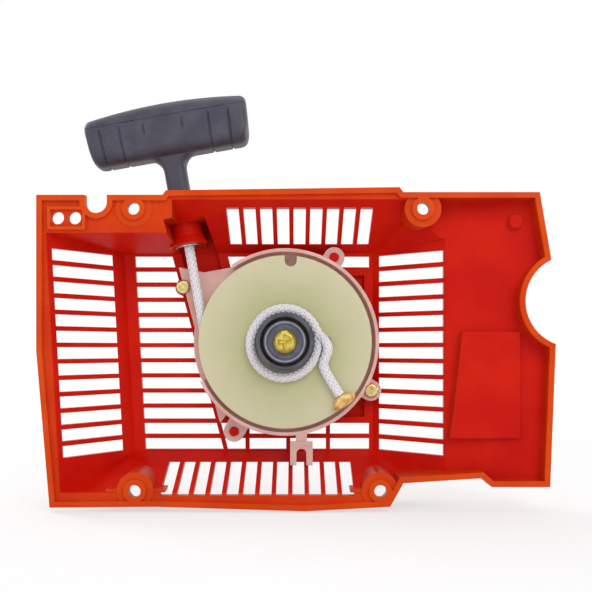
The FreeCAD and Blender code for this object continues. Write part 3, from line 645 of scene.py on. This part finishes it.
def melted_end():
    """A blob that spreads sideways where the hot blade pressed it flat."""
    shape = bmesh.new()
    away = (tail[-1] - tail[-2]).normalized()
    across = away.cross(depth_way).normalized()
    neck = 2.6 * mm
    half_width = 5.9 * mm
    half_thick = 2.35 * mm
    half_long = 3.0 * mm
    begins = 0.14                # in half turns: where the rope goes in, short of the pole
    ends = 0.99
    flare_share = 0.45           # of the length, over which the lump grows to its full width
    rows = 18
    around = 48
    rings = []
    for row in range(rows + 1):
        share = row / rows
        turn = math.pi * (begins + (ends - begins) * share)
        full = math.sin(turn) ** 0.7
        wide = (neck + (half_width - neck) * step_between(share, 0, flare_share)) * full
        thick = (neck + (half_thick - neck) * min(1.0, share / flare_share)) * full
        centre = melt_middle - away * (half_long * math.cos(turn) - 0.5 * mm)
        ring = []
        for side, smooth in enumerate(oval(Vector(), across * wide, depth_way * thick, around)):
            turned = math.tau * side / around
            spot = Vector((math.cos(turned), math.sin(turned), 2 * share))
            bump = 1 + 0.10 * noise.noise(spot * 1.8) + 0.03 * noise.noise(spot * 6)
            ring.append(centre + bump * smooth)
        rings.append(ring)
    tube_skin(shape, rings)
    return new_piece("rope_burnt_end", shape, melted_skin(), 50)


fitted(melted_end(), "pulley", "rope_melt", "rope_melted_end")


# ------------------------------------------------------------------ wound rope
# Three and a half turns of the same rope lie one on the other in the groove of the pulley,
# mostly hidden by its flanges, so the strands are drawn with fewer rings here.
lead = 14 * mm               # straight rope, still over the groove, that leaves the last turn


def winding_line():
    """A flat spiral in from where the rope leaves to the hole beside the core."""
    low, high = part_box("rope_winding")
    middle = -(low.y + high.y) / 2
    outer = high.x - rope_radius
    turns = 3.5
    pitch = 2 * rope_radius + 0.1 * mm
    leaves_at = -10.0
    steps = 72
    lead_steps = 10
    leaving = about_axis(leaves_at + 90, 1.0, 0)
    line = [about_axis(leaves_at, outer, middle) + leaving * lead * (1 - step / lead_steps)
            for step in range(lead_steps)]
    for step in range(int(turns * steps) + 1):
        turned = step / steps
        line.append(about_axis(leaves_at - 360 * turned, outer - pitch * turned, middle))
    return line


fitted(braided("rope_turns", winding_line(), rope_skin, fineness=3), "pulley", "rope_braid",
       "rope_winding")


# ------------------------------------------------------------------ rope to the handle
# From the last turn the rope runs straight up through the eyelet, the rope boss and the stem
# of the handle. What is pulled out of the cover is the same rope, drawn as one long sleeve.
pull_way = Vector(next(j["axis"] for j in frame["joints"] if j["name"] == "handle_pull"))
grip_way = Vector((pull_way.z, 0, -pull_way.x))


def extent(node, way):
    """Lowest and highest place of a piece along a direction."""
    places = [corner.co.dot(way) for corner in frame["nodes"][node].data.vertices]
    return min(places), max(places)


def middle_of(node, way):
    """Half way between a piece's two ends along a direction."""
    return sum(extent(node, way)) / 2


def on_pull_line(along):
    """The point of the rope's line at a distance along the direction of pull."""
    return (pull_way * along + grip_way * middle_of("rope_eyelet", grip_way)
            + depth_way * middle_of("rope_eyelet", depth_way))


eyelet_top = extent("rope_eyelet", pull_way)[1]
run_top = extent("rope_run", pull_way)[1]
stem_foot = extent("handle_body", pull_way)[0]
in_guide = eyelet_top + 6 * mm    # where the braid gives way to the sleeve
fitted(braided("rope_at_pulley", [on_pull_line(lead), on_pull_line(in_guide)], rope_skin),
       "cover", "rope_braid")


def sleeve_fibre():
    """The braid as relief, in columns of V shapes along the sleeve, with painted shade in its
    valleys.
    """
    def skin(start):
        place = start.make("TexCoord", output="Object")

        def from_line(way):
            return reach_along(start, place, tuple(way)) - on_pull_line(0).dot(way)

        along = from_line(pull_way)
        turn = start.maths("ARCTAN2", from_line(depth_way), from_line(grip_way))
        wind = along * (math.tau / rope_lay)
        ridge_one = start.maths("COSINE", (turn - wind) * strands_each_way)
        ridge_two = start.maths("COSINE", (turn + wind) * strands_each_way)
        column = start.maths("COSINE", turn * (strands_each_way / 2)).between(-0.3, 0.3)
        braid_height = ridge_one * column + ridge_two * (1 - column)
        fuzz = speckle(start, 0.16 * mm, 4.0, 0.7)
        # Painted shade: the valleys of the braid relief are painted darker grey.
        painted_valley_shade = braid_height.between(-1.0, 0.2)
        return {"Base Color": painted_valley_shade.tint(srgb(176, 174, 184), srgb(236, 235, 240)),
                "Roughness": 0.62 + fuzz * 0.2,
                "Normal": relief(start, braid_height * 0.8 + fuzz * 0.2, 0.35 * mm)}
    return surface("rope_sleeve", skin, Sheen_Weight=0.15, Specular_IOR_Level=0.3)


def pulled_rope():
    """The sleeve: it starts inside the braid in the guide, and runs up to the handle."""
    shape = bmesh.new()
    start = in_guide - 2 * mm
    radius = 0.96 * rope_radius
    rows = 60
    tube_skin(shape, [oval(on_pull_line(start + (run_top - start) * row / rows),
                           grip_way * radius, depth_way * radius, 32)
                      for row in range(rows + 1)])
    piece = new_piece("rope_pulled", shape, sleeve_fibre(), 60)
    on_pull_line(in_guide)
    on_pull_line(stem_foot + 1 * mm)
    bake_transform(piece)
    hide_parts("rope_run")


pulled_rope()


# ------------------------------------------------------------------ rope eyelet
# A bright steel eyelet is pressed into the foot of the guide, flange down, so that the rope
# can't saw through the nylon.
steel_skin = metal("bright_steel", srgb(176, 178, 184), srgb(216, 216, 220), 0.22)
fitted(rounded_copy("rope_eyelet", "guide_eyelet", steel_skin, 0.25 * mm, 3),
       "cover", "bright_steel", "rope_eyelet")


# ------------------------------------------------------------------ handle
# The T handle is moulded in slate grey plastic in two shells: the body with its stem, and a
# cap along the arched crown. Six narrow grooves cross the grip below the seam.
handle_skin = moulded("handle_plastic", srgb(60, 59, 71), srgb(76, 75, 88), 0.46, 0.03 * mm,
                      patch=9 * mm, Specular_IOR_Level=0.35)
grip_left, grip_right = extent("handle_cap", grip_way)
grip_outer, grip_inner = extent("handle_cap", depth_way)
grip_middle = (grip_left + grip_right) / 2
handle_depth = (grip_outer + grip_inner) / 2
half_length = (grip_right - grip_left) / 2
half_depth = (grip_inner - grip_outer) / 2
seam = extent("handle_body", pull_way)[1]
grip_bottom = seam - 18.2 * mm
crown_foot = 3.8 * mm        # height of the cap at its two ends, above the seam
crown = 3.0 * mm             # how much higher the cap is in the middle
corner_round = 5.2 * mm
end_round = 2.6 * mm
end_slant = 1.5 / 38         # how much shorter the grip is at its underside, as a share
end_lift = 3.2 * mm          # how far the underside rises towards each end
end_lift_reach = 5 * mm
groove_shares = (0.11, 0.235, 0.40, 0.64, 0.79, 0.91)     # places along the grip
groove_half = 0.55 * mm
groove_depth = 0.6 * mm
groove_top = 1.4 * mm        # from the seam down to where the grooves start
groove_fade = 0.8 * mm
short_groove = 8.0 * mm      # the two middle grooves end above the stem
stem_root = 7.0 * mm         # radius of the fillet between the stem and the grip
stem_flare = 3.0 * mm


def handle_point(along, across, up):
    """A place in the handle's own frame: along the grip, through it, and up the pull."""
    return grip_way * along + depth_way * across + pull_way * up


def rounded_ring(half_wide, half_high, corner, flats=14):
    """Points round a rectangle with round corners: across, up, and the way out at each."""
    arc = 7
    corner = min(corner, half_wide * 0.98, half_high * 0.98)
    centres = [((half_wide - corner) * across, (half_high - corner) * up)
               for across, up in ((1, 1), (-1, 1), (-1, -1), (1, -1))]
    ring = []
    for quarter, (here_x, here_z) in enumerate(centres):
        next_x, next_z = centres[(quarter + 1) % 4]
        for step in range(arc + 1):
            turn = math.pi / 2 * (quarter + step / arc)
            out_x = math.cos(turn)
            out_z = math.sin(turn)
            ring.append((here_x + corner * out_x, here_z + corner * out_z, out_x, out_z))
        for step in range(1, flats):
            share = step / flats
            ring.append((here_x + (next_x - here_x) * share + corner * out_x,
                         here_z + (next_z - here_z) * share + corner * out_z, out_x, out_z))
    return ring


def quarter_round(inside, radius):
    """How far a round edge falls back, at a distance in from its outer end."""
    return radius - math.sqrt(max(0.0, radius ** 2 - max(0.0, radius - inside) ** 2))


def grip_rings():
    """Sections of the grip from its left end to its right end."""
    places = {-half_length, half_length}
    for step in range(9):
        inset = end_round * 1.6 * (step / 8) ** 2
        places |= {-half_length + inset, half_length - inset}
    places |= {-half_length + 2 * half_length * step / 48 for step in range(3, 46)}
    grooves = [half_length * (2 * share - 1) for share in groove_shares]
    for groove in grooves:
        places = {p for p in places if abs(p - groove) > groove_half * 1.3}
        places |= {groove + groove_half * share for share in (-1.1, -0.7, -0.35, 0, 0.35, 0.7, 1.1)}
    rings = []
    for place in sorted(places):
        from_end = half_length - abs(place)
        shrink = quarter_round(from_end, end_round)
        lift = end_lift / end_lift_reach * quarter_round(from_end, end_lift_reach)
        top = seam + crown_foot + crown * (1 - (place / half_length) ** 2) - shrink * 0.8
        bottom = grip_bottom + shrink + lift
        half_high = (top - bottom) / 2
        ring = []
        for across, up, out_x, out_z in rounded_ring(half_depth - shrink, half_high, corner_round):
            level = (top + bottom) / 2 + up
            below_seam = seam - level
            cut = 0.0
            for number, groove in enumerate(grooves):
                share = abs(place - groove) / groove_half
                if share < 1:
                    cut = groove_depth * (1 - share * share)
                    cut *= step_between(below_seam, groove_top, groove_top + groove_fade)
                    if number in (2, 3):
                        cut *= 1 - step_between(below_seam, short_groove - groove_fade, short_groove)
            along = grip_middle + place * (1 - end_slant * (top - level) / (top - grip_bottom))
            ring.append(handle_point(along, handle_depth + across - out_x * cut,
                                     level - out_z * cut))
        rings.append(ring)
    return rings


def stem_rings():
    """Sections of the stem from its flared foot up into the grip."""
    stem_middle = middle_of("rope_eyelet", grip_way)
    foot_round = 0.5 * mm
    heights = (0.0, 0.25, 0.8, 1.4, 2.2, 3.0, 4.0, 5.0, 6.5, 8.0, 10.0, 12.5, 15.0, 17.5, 20.0)
    levels = [stem_foot + height * mm for height in heights]
    levels += [grip_bottom - stem_root + stem_root * math.sin(math.pi / 2 * step / 12)
               for step in range(13)]
    levels.append(grip_bottom + 3.0 * mm)
    rings = []
    for level in levels:
        height = level - stem_foot
        flare = stem_flare * (1 - step_between(height, 0.6 * mm, 7.0 * mm))
        start_round = max(0.0, foot_round - height)
        into = min(stem_root, max(0.0, level - (grip_bottom - stem_root)))
        widen = stem_root - math.sqrt(stem_root ** 2 - into ** 2)
        corner = 3.4 * mm + flare + 1.5 * mm * into / stem_root
        half_wide = 5.2 * mm + flare + widen - start_round
        half_thick = 5.0 * mm + flare * 0.95 - start_round
        section = rounded_ring(half_wide, half_thick, corner, flats=4)
        rings.append([handle_point(stem_middle + across, handle_depth + depth, level)
                      for across, depth, *_ in section])
    return rings


def joined(piece, other, operation):
    """Add one solid to another, or take it away, and keep the result."""
    step = piece.modifiers.new("joining", "BOOLEAN")
    step.operation = operation
    step.object = other
    step.solver = "MANIFOLD"
    seen = bpy.context.evaluated_depsgraph_get()
    result = bpy.data.meshes.new_from_object(piece.evaluated_get(seen))
    piece.modifiers.clear()
    piece.data = result
    bpy.data.objects.remove(other)
    return piece


def half_of_grip(name, keep_above):
    """The grip above or below the seam, with a small rounded edge at the seam."""
    shape = bmesh.new()
    tube_skin(shape, grip_rings())
    bmesh.ops.recalc_face_normals(shape, faces=shape.faces)
    cut = bmesh.ops.bisect_plane(
        shape, geom=shape.verts[:] + shape.edges[:] + shape.faces[:], plane_co=pull_way * seam,
        plane_no=pull_way, clear_inner=keep_above, clear_outer=not keep_above)
    rim = [item for item in cut["geom_cut"] if isinstance(item, bmesh.types.BMEdge)]
    bmesh.ops.holes_fill(shape, edges=rim, sides=0)
    bmesh.ops.bevel(shape, geom=rim, offset=0.25 * mm, segments=2, profile=0.5,
                    affect="EDGES", clamp_overlap=False)
    return new_piece(name, shape, handle_skin, 30)


def rope_room():
    """The bore up the stem and the pocket for the knot, as one stepped solid."""
    shape = bmesh.new()
    bore = rope_radius + 0.3 * mm
    pocket = 6.2 * mm
    foot = stem_foot - 5 * mm
    floor = extent("knot_washer", pull_way)[0]
    ceiling = seam + 1 * mm
    tube_skin(shape, [oval(on_pull_line(level), grip_way * radius, depth_way * radius, 40)
                      for level, radius in ((foot, bore), (floor, bore), (floor, pocket),
                                            (ceiling, pocket))])
    return new_piece("rope_room", shape, handle_skin)


def stem():
    shape = bmesh.new()
    tube_skin(shape, stem_rings())
    return new_piece("stem", shape, handle_skin)


grip = half_of_grip("handle_grip", False)
joined(grip, stem(), "UNION")
joined(grip, rope_room(), "DIFFERENCE")
fitted(grip, "handle", "handle_plastic", "handle_body")
fitted(half_of_grip("handle_crown", True), "handle", "handle_plastic", "handle_cap")


# ------------------------------------------------------------------ knot
# Inside the grip the rope ends in an overhand knot, pulled tight. It rests on a steel washer
# that keeps it from slipping down the stem.
def knot_line():
    """One closed loop in the shape of an overhand knot."""
    middle = on_pull_line(middle_of("rope_knot", pull_way))
    size = 0.95 * mm
    line = []
    for step in range(181):
        turn = math.tau * step / 180
        line.append(middle + size * (grip_way * (math.sin(turn) + 2 * math.sin(2 * turn))
                                     + depth_way * (math.cos(turn) - 2 * math.cos(2 * turn))
                                     - pull_way * 1.6 * math.sin(3 * turn)))
    return line


fitted(braided("rope_stop_knot", knot_line(), rope_skin, radius=1.9 * mm), "handle",
       "rope_braid", "rope_knot")
fitted(rounded_copy("knot_washer", "knot_rest", steel_skin, 0.12 * mm), "handle",
       "bright_steel", "knot_washer")
